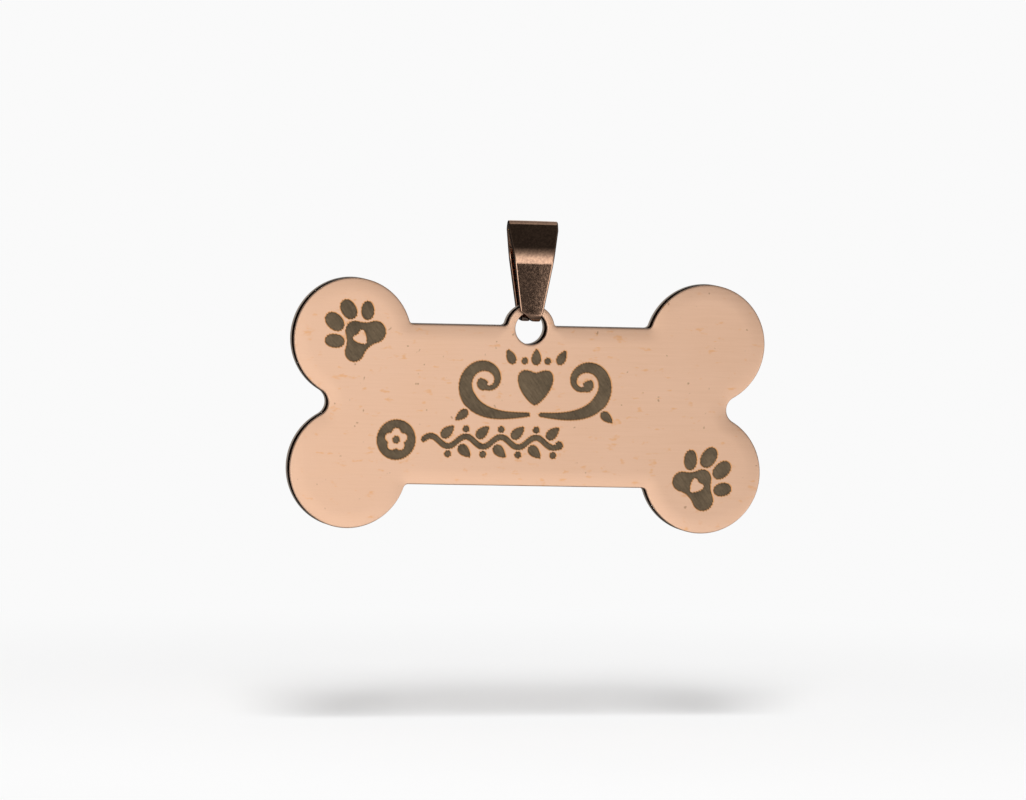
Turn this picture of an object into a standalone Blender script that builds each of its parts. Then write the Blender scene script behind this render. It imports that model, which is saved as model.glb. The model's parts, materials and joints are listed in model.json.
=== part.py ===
# Pet tag: a bone-shaped plate hanging on a bail folded from one strip of steel.
# Metres, +Z up. The front of the plate faces -Y and its length runs along X.
# The origin is where a collar ring bears, under the fold at the top of the bail.

from math import atan2, cos, hypot, pi, radians, sin, sqrt, tan

import bmesh
import bpy
import numpy as np
from mathutils import Vector

MM = 0.001

# The plate, cut from sheet in the outline of a bone.
PLATE_LENGTH = 50.0 * MM
PLATE_THICKNESS = 2.0 * MM
LOBE_RADIUS = 6.2 * MM
LOBE_HEIGHT = 6.63 * MM        # a lobe's centre above or below the middle of the bone
SHANK_HALF_WIDTH = 8.22 * MM   # the straight edges between the lobes
NOTCH_RADIUS = 1.43 * MM       # between the two lobes of one end
SHANK_FILLET = 0.5 * MM        # where a lobe runs into a straight edge
RIM_EDGE_BREAK = 0.1 * MM      # the rounded edge all round, and round the hole

# The ear on the top edge and the hole that the bail passes through.
EAR_RADIUS = 2.5 * MM
EAR_HEIGHT = 7.95 * MM         # the ear's centre above the middle of the bone
EAR_FILLET = 0.45 * MM
HOLE_HEIGHT = 8.0 * MM         # the hole's centre above the middle of the bone
HOLE_RADIUS = 1.68 * MM

# The bail, a strip that tapers both ways from its fold. Heights are above the hole's centre.
STRIP_THICKNESS = 0.55 * MM
STRIP_EDGE_ROUND = 0.17 * MM
FOLD_HALF_WIDTH = 2.56 * MM    # half of the strip's width over the fold
FOLD_FLAT = 1.15 * MM          # how far from the crown the strip keeps that width
STRIP_TAPER = 0.157            # loss of half-width for each unit of length
FOLD_TOP = 11.0 * MM           # the crown's outer surface
FOLD_RADIUS = 0.65 * MM        # radii are those of the strip's middle surface
SHOULDER_ANGLE = radians(32)   # the flat under the fold leans out this far
BULGE_HEIGHT = 7.5 * MM        # where the shoulder would meet the leg if it were sharp
BULGE_RADIUS = 2.5 * MM
TONGUE_HEIGHT = 1.0 * MM
TONGUE_RADIUS = 0.6 * MM       # the bend from a leg into its tongue
TONGUE_REACH = 0.75 * MM       # a tongue's end, past the middle of the plate
LEG_OFFSET = 1.7 * MM          # from the middle of the plate to the foot of a leg
BAIL_TURN = radians(-8)        # the loose bail stands turned a little in the ear

# Each leg is cut slantwise to half its width, so that the tongues lie side by side.
SLANT_START = 1.8 * MM         # height on the leg where the slant begins
SLANT_LENGTH = 0.85 * MM
TONGUE_WIDTH = 0.92 * MM
TONGUE_GAP = 0.1 * MM          # between the two tongues
TIP_ROUND = 0.2 * MM           # the rounded corners at a tongue's end

ARC_STEP = radians(6)


def clear_scene():
    for old in list(bpy.data.objects):
        bpy.data.objects.remove(old, do_unlink=True)


def metal(name, colour, roughness):
    """A coated steel finish."""
    finish = bpy.data.materials.new(name)
    finish.use_nodes = True
    shader = finish.node_tree.nodes["Principled BSDF"]
    shader.inputs["Base Color"].default_value = (*colour, 1.0)
    shader.inputs["Metallic"].default_value = 1.0
    shader.inputs["Roughness"].default_value = roughness
    finish.diffuse_color = (*colour, 1.0)
    return finish


def arc(centre, radius, start, end, step=ARC_STEP):
    """Points of an arc from one angle to another, both ends kept."""
    count = max(2, round(abs(end - start) / step)) + 1
    angles = np.linspace(start, end, count)
    return [(centre[0] + radius * cos(a), centre[1] + radius * sin(a)) for a in angles]


def joined(*runs):
    """One list of points without the doubles where two runs meet."""
    points = []
    for run in runs:
        for point in run:
            if not points or hypot(point[0] - points[-1][0], point[1] - points[-1][1]) > 1e-6:
                points.append(point)
    return points


def mirrored(points, across_x=False):
    """The same run on the other side, in the opposite order."""
    return [(x, -z) if across_x else (-x, z) for x, z in reversed(points)]


def lobe_run():
    """The right end's upper quarter: half the notch, the lobe and its fillet.

    Each arc is tangent to the next, so the centres follow from the radii.
    """
    lobe_x = PLATE_LENGTH / 2 - LOBE_RADIUS
    notch_x = lobe_x + sqrt((LOBE_RADIUS + NOTCH_RADIUS) ** 2 - LOBE_HEIGHT ** 2)
    to_notch = atan2(-LOBE_HEIGHT, notch_x - lobe_x)
    fillet_z = SHANK_HALF_WIDTH + SHANK_FILLET
    fillet_x = lobe_x - sqrt((LOBE_RADIUS + SHANK_FILLET) ** 2 - (fillet_z - LOBE_HEIGHT) ** 2)
    to_fillet = atan2(fillet_z - LOBE_HEIGHT, fillet_x - lobe_x)
    return joined(
        arc((notch_x, 0.0), NOTCH_RADIUS, pi, to_notch + pi, radians(12)),
        arc((lobe_x, LOBE_HEIGHT), LOBE_RADIUS, to_notch, to_fillet),
        arc((fillet_x, fillet_z), SHANK_FILLET, to_fillet - pi, -pi / 2, radians(12)),
    )


def ear_run():
    """The right half of the ear, from the straight edge to the top."""
    fillet_z = SHANK_HALF_WIDTH + EAR_FILLET
    fillet_x = sqrt((EAR_RADIUS + EAR_FILLET) ** 2 - (fillet_z - EAR_HEIGHT) ** 2)
    to_fillet = atan2(fillet_z - EAR_HEIGHT, fillet_x)
    return joined(
        arc((fillet_x, fillet_z), EAR_FILLET, -pi / 2, to_fillet - pi, radians(12)),
        arc((0.0, EAR_HEIGHT), EAR_RADIUS, to_fillet, pi / 2),
    )


def bone_outline():
    """The closed outline, with the ear, in the XZ plane."""
    quarter = lobe_run()
    ear = ear_run()
    right_up = joined(quarter, ear)
    left_up = mirrored(right_up)
    left_down = [(-x, -z) for x, z in quarter]
    right_down = mirrored(quarter, across_x=True)
    return joined(right_up, left_up, left_down, right_down)[:-1]


def make_plate(finish, hinge):
    """The outline drawn to its thickness, drilled, with its sharp edges rounded."""
    mesh = bpy.data.meshes.new("bone_plate")
    shape = bmesh.new()
    corners = [shape.verts.new((x, -PLATE_THICKNESS / 2, z - HOLE_HEIGHT)) for x, z in bone_outline()]
    front = shape.faces.new(corners)
    drawn = bmesh.ops.extrude_face_region(shape, geom=[front])
    moved = [v for v in drawn["geom"] if isinstance(v, bmesh.types.BMVert)]
    bmesh.ops.translate(shape, verts=moved, vec=Vector((0.0, PLATE_THICKNESS, 0.0)))
    bmesh.ops.remove_doubles(shape, verts=shape.verts, dist=1e-7)
    bmesh.ops.recalc_face_normals(shape, faces=shape.faces)
    shape.to_mesh(mesh)
    shape.free()

    plate = bpy.data.objects.new("bone_plate", mesh)
    bpy.context.collection.objects.link(plate)
    plate.parent = hinge
    plate.data.materials.append(finish)

    drill = plate.modifiers.new("hole", "BOOLEAN")
    drill.operation = "DIFFERENCE"
    drill.solver = "EXACT"
    drill.object = make_drill(hinge)
    rounding = plate.modifiers.new("edge_break", "BEVEL")
    rounding.width = RIM_EDGE_BREAK
    rounding.segments = 2
    rounding.limit_method = "ANGLE"
    rounding.angle_limit = radians(60)
    mesh.shade_smooth()
    mesh.set_sharp_from_angle(angle=radians(40))
    return plate


def make_drill(hinge):
    """A round cutter on the hinge's axis, longer than the plate is thick."""
    mesh = bpy.data.meshes.new("hole_cutter")
    shape = bmesh.new()
    bmesh.ops.create_cone(
        shape,
        cap_ends=True,
        segments=48,
        radius1=HOLE_RADIUS,
        radius2=HOLE_RADIUS,
        depth=3 * PLATE_THICKNESS,
    )
    shape.to_mesh(mesh)
    shape.free()
    cutter = bpy.data.objects.new("hole_cutter", mesh)
    bpy.context.collection.objects.link(cutter)
    cutter.parent = hinge
    cutter.rotation_euler = (pi / 2, 0.0, 0.0)
    cutter.hide_render = True
    cutter.display_type = "WIRE"
    return cutter


def rounded_path(corners, radii):
    """A line through (y, z) corners, with an arc of the given radius at each inner one."""
    points = [Vector(corners[0])]
    for before, corner, after, radius in zip(corners, corners[1:], corners[2:], radii):
        corner = Vector(corner)
        back = (Vector(before) - corner).normalized()
        ahead = (Vector(after) - corner).normalized()
        half = back.angle(ahead) / 2
        centre = corner + (back + ahead).normalized() * (radius / sin(half))
        first = corner + back * (radius / tan(half))
        last = corner + ahead * (radius / tan(half))
        start = atan2(first.y - centre.y, first.x - centre.x)
        sweep = atan2(last.y - centre.y, last.x - centre.x) - start
        sweep = (sweep + pi) % (2 * pi) - pi
        count = max(4, round(abs(sweep) / radians(10)))
        for i in range(count + 1):
            a = start + sweep * i / count
            points.append(centre + Vector((cos(a), sin(a))) * radius)
    points.append(Vector(corners[-1]))
    return points


def strip_path():
    """The strip's middle surface seen from the side, from the front tongue to the back one."""
    peak = FOLD_TOP - STRIP_THICKNESS / 2 - FOLD_RADIUS + FOLD_RADIUS / sin(SHOULDER_ANGLE)
    bulge = (peak - BULGE_HEIGHT) * tan(SHOULDER_ANGLE)
    half = [(TONGUE_REACH, TONGUE_HEIGHT), (-LEG_OFFSET, TONGUE_HEIGHT), (-bulge, BULGE_HEIGHT)]
    corners = half + [(0.0, peak)] + [(-y, z) for y, z in reversed(half)]
    radii = [TONGUE_RADIUS, BULGE_RADIUS, FOLD_RADIUS, BULGE_RADIUS, TONGUE_RADIUS]
    return rounded_path(corners, radii)


def with_stations(points, distances, wanted):
    """The path with extra points at the wanted distances along it."""
    kept = [d for d in wanted if np.abs(distances - d).min() > 0.02 * MM]
    every = np.sort(np.concatenate([distances, kept]))
    ys = np.interp(every, distances, [p.x for p in points])
    zs = np.interp(every, distances, [p.y for p in points])
    return every, np.stack([ys, zs], axis=1)


def strip_edges(from_crown, slant_at, tip_at):
    """Left and right edges of the front half of the strip at a distance from the crown."""
    half_width = FOLD_HALF_WIDTH - STRIP_TAPER * max(0.0, from_crown - FOLD_FLAT)
    cut = min(1.0, max(0.0, (from_crown - slant_at) / SLANT_LENGTH))
    left = (cut - 1) * half_width + cut * TONGUE_GAP / 2
    right = (1 - cut) * half_width + cut * (TONGUE_GAP / 2 + TONGUE_WIDTH)
    past = max(0.0, from_crown - (tip_at - TIP_ROUND))
    corner = TIP_ROUND - sqrt(max(0.0, TIP_ROUND ** 2 - past ** 2))
    return left + 0.7 * corner, right - 0.7 * corner


def strip_section(left, right):
    """The strip's cross-section with rounded edges: (across, out) pairs, counter-clockwise."""
    r = STRIP_EDGE_ROUND
    t = STRIP_THICKNESS / 2
    section = []
    for x, out, first in ((right, t, 0), (left, t, 1), (left, -t, 2), (right, -t, 3)):
        centre = (x - r if x == right else x + r, out - r if out > 0 else out + r)
        for k in range(3):
            a = (first + k / 2) * pi / 2
            section.append((centre[0] + r * cos(a), centre[1] + r * sin(a)))
    return section


def make_bail(finish, turned):
    """The strip, carried along its folded path and cut to two tongues."""
    points = strip_path()
    steps = [(b - a).length for a, b in zip(points, points[1:])]
    distances = np.concatenate([[0.0], np.cumsum(steps)])
    crown = distances[-1] / 2
    rising = [(p.y, d) for p, d in zip(points, distances) if d <= crown and p.y > TONGUE_HEIGHT]
    slant_from_tip = np.interp(SLANT_START, *zip(*rising))
    marks = [TIP_ROUND * k / 3 for k in (1, 2, 3)]
    marks += [slant_from_tip - SLANT_LENGTH, slant_from_tip, crown - FOLD_FLAT]
    marks += [distances[-1] - mark for mark in marks]
    along, path = with_stations(points, distances, marks)

    mesh = bpy.data.meshes.new("bail")
    shape = bmesh.new()
    rings = []
    for i, (d, (y, z)) in enumerate(zip(along, path)):
        before = path[max(i - 1, 0)]
        after = path[min(i + 1, len(path) - 1)]
        run = Vector((after[0] - before[0], after[1] - before[1])).normalized()
        outward = Vector((-run.y, run.x))
        left, right = strip_edges(abs(d - crown), crown - slant_from_tip, crown)
        if d > crown:
            left, right = -right, -left
        ring = []
        for across, out in strip_section(left, right):
            ring.append(shape.verts.new((across, y + outward.x * out, z + outward.y * out)))
        rings.append(ring)
    for ring, following in zip(rings, rings[1:]):
        for k in range(len(ring)):
            n = (k + 1) % len(ring)
            shape.faces.new((ring[k], ring[n], following[n], following[k]))
    shape.faces.new(rings[0])
    shape.faces.new(list(reversed(rings[-1])))
    bmesh.ops.recalc_face_normals(shape, faces=shape.faces)
    shape.to_mesh(mesh)
    shape.free()
    mesh.shade_smooth()
    mesh.set_sharp_from_angle(angle=radians(40))

    bail = bpy.data.objects.new("bail", mesh)
    bpy.context.collection.objects.link(bail)
    bail.parent = turned
    bail.data.materials.append(finish)
    return bail


def place(name, parent=None, location=(0.0, 0.0, 0.0), turn=0.0):
    """An empty that carries pieces."""
    empty = bpy.data.objects.new(name, None)
    empty.parent = parent
    empty.location = location
    empty.rotation_euler = (0.0, 0.0, turn)
    empty.empty_display_size = 2 * MM
    bpy.context.collection.objects.link(empty)
    return empty


def main():
    clear_scene()
    brushed = metal("rose_gold_brushed", (0.80, 0.50, 0.33), 0.32)
    polished = metal("rose_gold_polished", (0.50, 0.29, 0.19), 0.12)
    hanging = place("hanging_point")
    hole_below = -(FOLD_TOP - STRIP_THICKNESS)
    hinge = place("hinge_axis", hanging, (0.0, 0.0, hole_below))
    turned = place("bail_turn", hinge, turn=BAIL_TURN)
    make_bail(polished, turned)
    make_plate(brushed, hinge)


main()
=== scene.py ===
# A bone-shaped pet tag: a brushed, shallowly engraved plate on a polished folded bail.
# Metres in the CAD frame, +Z up, the plate's front faces -Y. Shapes are worked out in
# millimetres and made metres when they go into a mesh.

import json
from math import atan2, cos, pi, radians, sin, sqrt, tan

import bpy
import numpy as np
from mathutils import Matrix, Vector
from mathutils.geometry import delaunay_2d_cdt


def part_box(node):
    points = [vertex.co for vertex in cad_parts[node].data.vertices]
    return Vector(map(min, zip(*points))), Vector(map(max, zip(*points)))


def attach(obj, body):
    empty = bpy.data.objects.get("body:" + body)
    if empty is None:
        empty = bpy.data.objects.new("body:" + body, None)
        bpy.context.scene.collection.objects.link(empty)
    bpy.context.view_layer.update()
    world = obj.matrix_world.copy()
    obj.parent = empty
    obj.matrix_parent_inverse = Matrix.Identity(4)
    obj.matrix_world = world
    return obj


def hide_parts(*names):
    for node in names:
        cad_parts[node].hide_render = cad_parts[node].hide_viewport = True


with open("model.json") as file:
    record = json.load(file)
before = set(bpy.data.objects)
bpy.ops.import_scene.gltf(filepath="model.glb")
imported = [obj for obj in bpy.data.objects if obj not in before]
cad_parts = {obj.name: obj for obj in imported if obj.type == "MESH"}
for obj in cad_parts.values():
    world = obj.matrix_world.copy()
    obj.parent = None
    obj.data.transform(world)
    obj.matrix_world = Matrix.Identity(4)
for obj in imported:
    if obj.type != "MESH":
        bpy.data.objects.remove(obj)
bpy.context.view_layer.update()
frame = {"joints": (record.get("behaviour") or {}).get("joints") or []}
mm = 0.001


def colour(red, green, blue):
    # A colour in full strength, as nodes take it.
    return (red, green, blue, 1.0)


# Node trees

class Wire:
    # An output socket. A sum, product, quotient or power written with it adds a Math node.
    def __init__(self, board, socket):
        self.board = board
        self.socket = socket

    def maths(self, operation, first, second, clamp=False):
        settings = {"operation": operation, "use_clamp": clamp}
        return self.board.add("ShaderNodeMath", settings, {0: first, 1: second})

    def __add__(self, other):
        return self.maths("ADD", self, other)

    def __sub__(self, other):
        return self.maths("SUBTRACT", self, other)

    def __rsub__(self, other):
        return self.maths("SUBTRACT", other, self)

    def __mul__(self, other):
        return self.maths("MULTIPLY", self, other)

    def __truediv__(self, other):
        return self.maths("DIVIDE", self, other)

    def __pow__(self, other):
        return self.maths("POWER", self, other)

    def __rpow__(self, other):
        return self.maths("POWER", other, self)

    __radd__ = __add__
    __rmul__ = __mul__

    def clamped(self):
        # The value held between 0 and 1.
        return self.maths("ADD", self, 0.0, clamp=True)


class Board:
    # One node tree.
    def __init__(self, owner):
        owner.use_nodes = True
        self.tree = owner.node_tree
        self.tree.nodes.clear()

    def add(self, kind, settings=None, sockets=None, out=0):
        # Any node: its settings first, then a value or a wire for each of its sockets.
        node = self.tree.nodes.new(kind)
        for name, value in (settings or {}).items():
            if name == "stops":
                self.setStops(node.color_ramp, value)
            else:
                setattr(node, name, value)
        for key, value in (sockets or {}).items():
            if isinstance(value, Wire):
                self.tree.links.new(value.socket, node.inputs[key])
            else:
                node.inputs[key].default_value = value
        return Wire(self, node.outputs[out]) if node.outputs else None

    def setStops(self, ramp, stops):
        # A ramp's stops from pairs of position and grey level.
        while len(ramp.elements) < len(stops):
            ramp.elements.new(1.0)
        for element, (position, level) in zip(ramp.elements, stops):
            element.position = position
            element.color = (level, level, level, 1.0)

    def mix(self, factor, first, second, blend="MIX"):
        # The first colour where the factor is 0 and the second where it is 1.
        settings = {"data_type": "RGBA", "blend_type": blend}
        return self.add("ShaderNodeMix", settings, {0: factor, 6: first, 7: second}, 2)

    def place(self):
        # Object coordinates, which are metres in the piece.
        return self.add("ShaderNodeTexCoord", out=3)

    def stretched(self, place, factors):
        # The place times a factor for each axis.
        return self.add("ShaderNodeVectorMath", {"operation": "MULTIPLY"}, {0: place, 1: factors})

    def noise(self, place, scale, detail=2.0, roughness=0.5):
        # Smooth noise round 0.5, with this many waves in each unit of the place.
        sockets = {"Vector": place, "Scale": scale, "Detail": detail, "Roughness": roughness}
        return self.add("ShaderNodeTexNoise", {}, sockets)

    def attribute(self, name):
        # The value that the mesh keeps at each of its points.
        return self.add("ShaderNodeAttribute", {"attribute_name": name}, out=2)

    def length(self, place):
        # How far the place is from the origin.
        return self.add("ShaderNodeVectorMath", {"operation": "LENGTH"}, {0: place}, 1)

    def spread(self, value, low, high):
        # 0 up to low and 1 from high on, with a smooth step between.
        settings = {"interpolation_type": "SMOOTHSTEP"}
        return self.add("ShaderNodeMapRange", settings, {"Value": value, "From Min": low, "From Max": high})

    def ramped(self, measure, stops, gain=1.0):
        # The ramp's level at a measure from -1 to 1, times a gain.
        ramp = self.add("ShaderNodeValToRGB", {"stops": stops}, {0: measure * 0.5 + 0.5})
        return self.mix(1.0, ramp, colour(gain, gain, gain), "MULTIPLY")

    def bumped(self, height, depth, strength=1.0):
        # The normal over a height from 0 to 1 that stands for a depth in metres.
        return self.add("ShaderNodeBump", {}, {"Strength": strength, "Distance": depth, "Height": height})

    def finishMetal(self, base, roughness, normal, metallic=1.0, slantTint=colour(1.0, 1.0, 1.0)):
        # A metal's shader and the material's output.
        self.finishMaterial(self.add("ShaderNodeBsdfPrincipled", {}, {
            "Base Color": base,
            "Metallic": metallic,
            "Roughness": roughness,
            "Specular Tint": slantTint,
            "Normal": normal,
        }))

    def finishMaterial(self, shader):
        # The material's output.
        self.add("ShaderNodeOutputMaterial", {}, {"Surface": shader})


def addObject(name, data):
    # An object in the scene, at the origin and unturned.
    piece = bpy.data.objects.new(name, data)
    bpy.context.scene.collection.objects.link(piece)
    return piece


# Finishes

brushedGold = {
    "colour": colour(0.87, 0.567, 0.400),
    "deepColour": colour(0.775, 0.48, 0.315),
    "scuffColour": colour(0.80, 0.42, 0.20),
    "speckColour": colour(0.36, 0.20, 0.11),
    "tintColour": colour(0.76, 0.37, 0.15),    # heat tint on the lip of the engraving
    "roughness": 0.36,
    "hairDensity": (300.0, 300.0, 9000.0),     # waves a metre along X, Y and Z
    "strandDensity": (120.0, 120.0, 2400.0),
    "cloudDensity": 110.0,
    "scuffDensity": (700.0, 700.0, 1500.0),
    "speckDensity": 1500.0,
    "level": 0.62,                             # from the deep colour at 0 to the other at 1
    "grainContrast": 1.3,
    "cloudContrast": 0.8,
    "scuffNoise": (0.60, 0.76),                # the noise where a scuff starts and is full
    "scuffShare": 0.72,
    "speckNoise": (0.765, 0.82),
    "speckShare": 0.6,
    "grainRoughness": 0.16,
    "cloudRoughness": 0.06,
    "bumpDepth": 0.0000045,
}

# Painted shade: the cut edge is near black, and its mirroring at a low angle is dimmed, to stand in for the
# dark surroundings it would mirror. The bail's sides and ends take it too.
paintedShadeEdgeFinish = {
    "colour": colour(0.060, 0.044, 0.036),
    "wornPaintedColour": colour(0.14, 0.10, 0.076),
    "slantTint": colour(0.10, 0.09, 0.08),     # how little it mirrors at a low angle
    "roughness": 0.30,
}

# Painted reflection: the back part of the cut edge is pale grey-beige, to stand in for the white backdrop it
# would mirror.
paintedReflectionEdgeFinish = {
    "colour": colour(0.42, 0.36, 0.31),
    "wornPaintedColour": colour(0.55, 0.48, 0.42),
    "slantTint": colour(0.60, 0.57, 0.54),
    "roughness": 0.40,
}

edgeGrain = {
    "lineDensity": (300.0, 7000.0, 300.0),     # fine across the thickness
    "cloudDensity": 500.0,
    "cloudRoughness": 0.2,
    "bumpStrength": 0.6,
    "bumpDepth": 0.000004,
}

engravedFinish = {
    "colour": colour(0.074, 0.050, 0.026),
    "lightColour": colour(0.205, 0.143, 0.082),
    "roughness": 0.62,
    "scanPitch": 0.12 * mm,
    "scanLean": radians(-52),      # the lines fall to the right
    "alongDensity": 900.0,
    "gritDensity": 6000.0,
    "cloudDensity": 500.0,
    "level": 0.46,
    "scanContrast": 1.3,
    "gritContrast": 0.9,
    "cloudContrast": 0.8,
    "gritRoughness": 0.2,
    "metallic": 0.25,
    "bumpDepth": 0.000012,
}

polishedGold = {
    "colour": colour(0.74, 0.46, 0.31),
    # painted reflection: the dark flecks of the speckle that the peel would mirror
    "deepColour": colour(0.47, 0.285, 0.20),
    "roughness": 0.085,
    "peelDensity": 4200.0,
    "peelContrast": 3.2,
    "peelRoughness": 0.10,
    "waveDensity": 420.0,
    "bumpDepth": 0.0000085,
}


def makeBrushedGold():
    # Colour and height follow noise drawn out along X, as a belt leaves it on the sheet.
    look = brushedGold
    metal = bpy.data.materials.new("brushed_rose_gold")
    board = Board(metal)
    place = board.place()
    hair = board.noise(board.stretched(place, look["hairDensity"]), 1.0, 3.0, 0.6)
    strand = board.noise(board.stretched(place, look["strandDensity"]), 1.0, 4.0, 0.65)
    cloud = board.noise(place, look["cloudDensity"], 3.0, 0.55)
    grain = hair * 0.45 + strand * 0.55
    tone = look["level"] + (grain - 0.5) * look["grainContrast"]
    tone = (tone + (cloud - 0.5) * look["cloudContrast"]).clamped()
    base = board.mix(tone, look["deepColour"], look["colour"])
    scuffs = board.noise(board.stretched(place, look["scuffDensity"]), 1.0, 2.0, 0.6)
    scuffed = board.spread(scuffs, *look["scuffNoise"]) * look["scuffShare"]
    base = board.mix(scuffed, base, look["scuffColour"])
    specks = board.noise(place, look["speckDensity"], 1.0, 0.4)
    speckled = board.spread(specks, *look["speckNoise"]) * look["speckShare"]
    base = board.mix(speckled, base, look["speckColour"])
    base = board.mix(board.attribute("warmth"), base, look["tintColour"])
    roughness = look["roughness"] + (grain - 0.5) * look["grainRoughness"]
    roughness = roughness + (cloud - 0.5) * look["cloudRoughness"]
    board.finishMetal(base, roughness, board.bumped(grain, look["bumpDepth"]))
    return metal


def makeEdgeFinish(name, look):
    # The cut edge, in colours that are painted light: painted shade in the dark finish, painted
    # reflection in the pale one. Its tone is half of some fine lines that run along the edge and half of a
    # soft cloud, less a quarter, between the finish's colour and a lighter one of the same painted light.
    metal = bpy.data.materials.new(name)
    board = Board(metal)
    place = board.place()
    lines = board.noise(board.stretched(place, edgeGrain["lineDensity"]), 1.0, 3.0, 0.6)
    cloud = board.noise(place, edgeGrain["cloudDensity"], 3.0, 0.6)
    base = board.mix((lines * 0.5 + cloud * 0.5 - 0.25).clamped(), look["colour"], look["wornPaintedColour"])
    bump = board.bumped(lines, edgeGrain["bumpDepth"], edgeGrain["bumpStrength"])
    roughness = look["roughness"] + (cloud - 0.5) * edgeGrain["cloudRoughness"]
    board.finishMetal(base, roughness, bump, slantTint=look["slantTint"])
    return metal


def makeEngravedFinish():
    # Matt brown where the laser burnt the surface in slanting scan lines.
    look = engravedFinish
    burnt = bpy.data.materials.new("laser_engraved_brown")
    board = Board(burnt)
    place = board.place()
    turned = board.add("ShaderNodeMapping", {}, {"Vector": place, "Rotation": (0.0, look["scanLean"], 0.0)})
    density = (look["alongDensity"], look["alongDensity"], 1.0 / look["scanPitch"])
    rows = board.noise(board.stretched(turned, density), 1.0, 2.0, 0.5)
    grit = board.noise(place, look["gritDensity"], 2.0, 0.6)
    cloud = board.noise(place, look["cloudDensity"], 2.0, 0.5)
    shade = (rows - 0.5) * look["scanContrast"] + (grit - 0.5) * look["gritContrast"]
    shade = (shade + (cloud - 0.5) * look["cloudContrast"] + look["level"]).clamped()
    base = board.mix(shade, look["colour"], look["lightColour"])
    bump = board.bumped(rows * 0.6 + grit * 0.4, look["bumpDepth"])
    roughness = look["roughness"] + (grit - 0.5) * look["gritRoughness"]
    board.finishMetal(base, roughness, bump, look["metallic"])
    return burnt


def makePolishedGold():
    # Polished steel with the faint orange peel that mass polishing leaves, as a bump, and with a painted
    # speckle of reflections in its colour.
    look = polishedGold
    metal = bpy.data.materials.new("polished_rose_gold")
    board = Board(metal)
    place = board.place()
    peel = board.noise(place, look["peelDensity"], 3.0, 0.6)
    wave = board.noise(place, look["waveDensity"], 2.0, 0.5)
    # Painted reflection: the tone turns dark and light with the peel, a speckle that stands in for the glints
    # and dark spots that the peel mirrors.
    tone = ((peel - 0.5) * look["peelContrast"] + wave).clamped()
    base = board.mix(tone, look["deepColour"], look["colour"])
    bump = board.bumped(peel * 0.6 + wave * 1.2, look["bumpDepth"])
    board.finishMetal(base, look["roughness"] + (peel - 0.5) * look["peelRoughness"], bump)
    return metal


# Outlines: rows of x, z and the outward direction, counter-clockwise, in millimetres
# from the middle of the bone.

def arcRun(centre, radius, start, end, spacing, side=1.0):
    # Points on a circle from one angle to another. side is -1 where the circle lies outside.
    count = max(3, int(np.ceil(abs(end - start) * radius / spacing))) + 1
    turn = np.linspace(start, end, count)
    ray = np.stack([np.cos(turn), np.sin(turn)], axis=1)
    return np.hstack([np.array(centre) + radius * ray, side * ray])


def straightRun(first, last, outward, spacing):
    # Even points from one place to another, all facing the same way.
    count = max(2, int(np.ceil(np.hypot(*np.subtract(last, first)) / spacing))) + 1
    share = np.linspace(0.0, 1.0, count)[:, None]
    points = (1 - share) * np.array(first) + share * np.array(last)
    return np.hstack([points, np.tile(outward, (count, 1))])


def mirrored(rows, signs):
    # The same run with x or z turned round, walked in the opposite order.
    return rows[::-1] * np.array([signs[0], signs[1], signs[0], signs[1]])


def closed(*runs):
    # One loop from its runs, without the doubles where they meet.
    rows = np.vstack(runs)
    step = np.hypot(*(rows[:, :2] - np.roll(rows[:, :2], 1, axis=0)).T)
    return rows[step > 1e-6]


def loopFrom(points, spacing):
    # A closed line resampled at even steps; its outward direction is its tangent turned right.
    ends = np.vstack([points, points[:1]])
    along = np.concatenate([[0.0], np.cumsum(np.hypot(*np.diff(ends, axis=0).T))])
    count = max(12, int(round(along[-1] / spacing)))
    stations = np.linspace(0.0, along[-1], count, endpoint=False)
    even = np.stack([np.interp(stations, along, ends[:, k]) for k in (0, 1)], axis=1)
    tangent = np.roll(even, -1, axis=0) - np.roll(even, 1, axis=0)
    tangent /= np.hypot(*tangent.T)[:, None]
    area = np.sum(even[:, 0] * np.roll(even[:, 1], -1) - even[:, 1] * np.roll(even[:, 0], -1))
    if area < 0:
        return np.hstack([even, np.stack([-tangent[:, 1], tangent[:, 0]], axis=1)])[::-1]
    return np.hstack([even, np.stack([tangent[:, 1], -tangent[:, 0]], axis=1)])


def placed(points, angle, centre):
    # Points turned about the origin and then moved.
    turn = np.array([[cos(angle), sin(angle)], [-sin(angle), cos(angle)]])
    return points @ turn + np.array(centre)


# The plate

plateLow, plateHigh = [np.array(corner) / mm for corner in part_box("bone_plate")]
hinge = np.array(frame["joints"][0]["pos_m"]) / mm
holeHeight = 8.0                   # the hole's centre above the middle of the bone

plate = {
    "length": plateHigh[0] - plateLow[0],
    "front": plateLow[1],
    "thickness": plateHigh[1] - plateLow[1],
    "middle": hinge[2] - holeHeight,
    "lobeRadius": 6.2,
    "lobeHeight": 6.63,
    "shankHalfWidth": 8.22,
    "notchRadius": 1.43,
    "shankFillet": 0.5,
    "earRadius": 2.5,
    "earHeight": 7.95,
    "earFillet": 0.45,
    "holeHeight": holeHeight,
    "holeRadius": 1.68,
    "edgeRound": 0.11,
    "sagWidth": 1.45,              # the face falls away a little towards its edge
    "sagTilt": radians(4.5),
    "earZone": 3.2,                # along the top edge, this near the middle, the ear leaves no
    "earSagLess": 0.93,            # room for the sag, which is this much narrower
    "rollWidth": 0.16,
    "rollTilt": radians(11),
    "holeSagWidth": 0.01,
    "holeRollWidth": 0.12,
    "holeEdgeRound": 0.09,
    "spacing": 0.14,
    "straightSpacing": 0.5,
    "holeSpacing": 0.09,
    # painted light on the cut: the dark painted shade covers this share of the thickness from the front, the
    # pale painted reflection the rest
    "paintedShadeSplit": 0.60,             # share of the thickness where the dark part of the cut ends
    "bow": radians(2.2),           # the face leans this far outwards at its two ends
}


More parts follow.
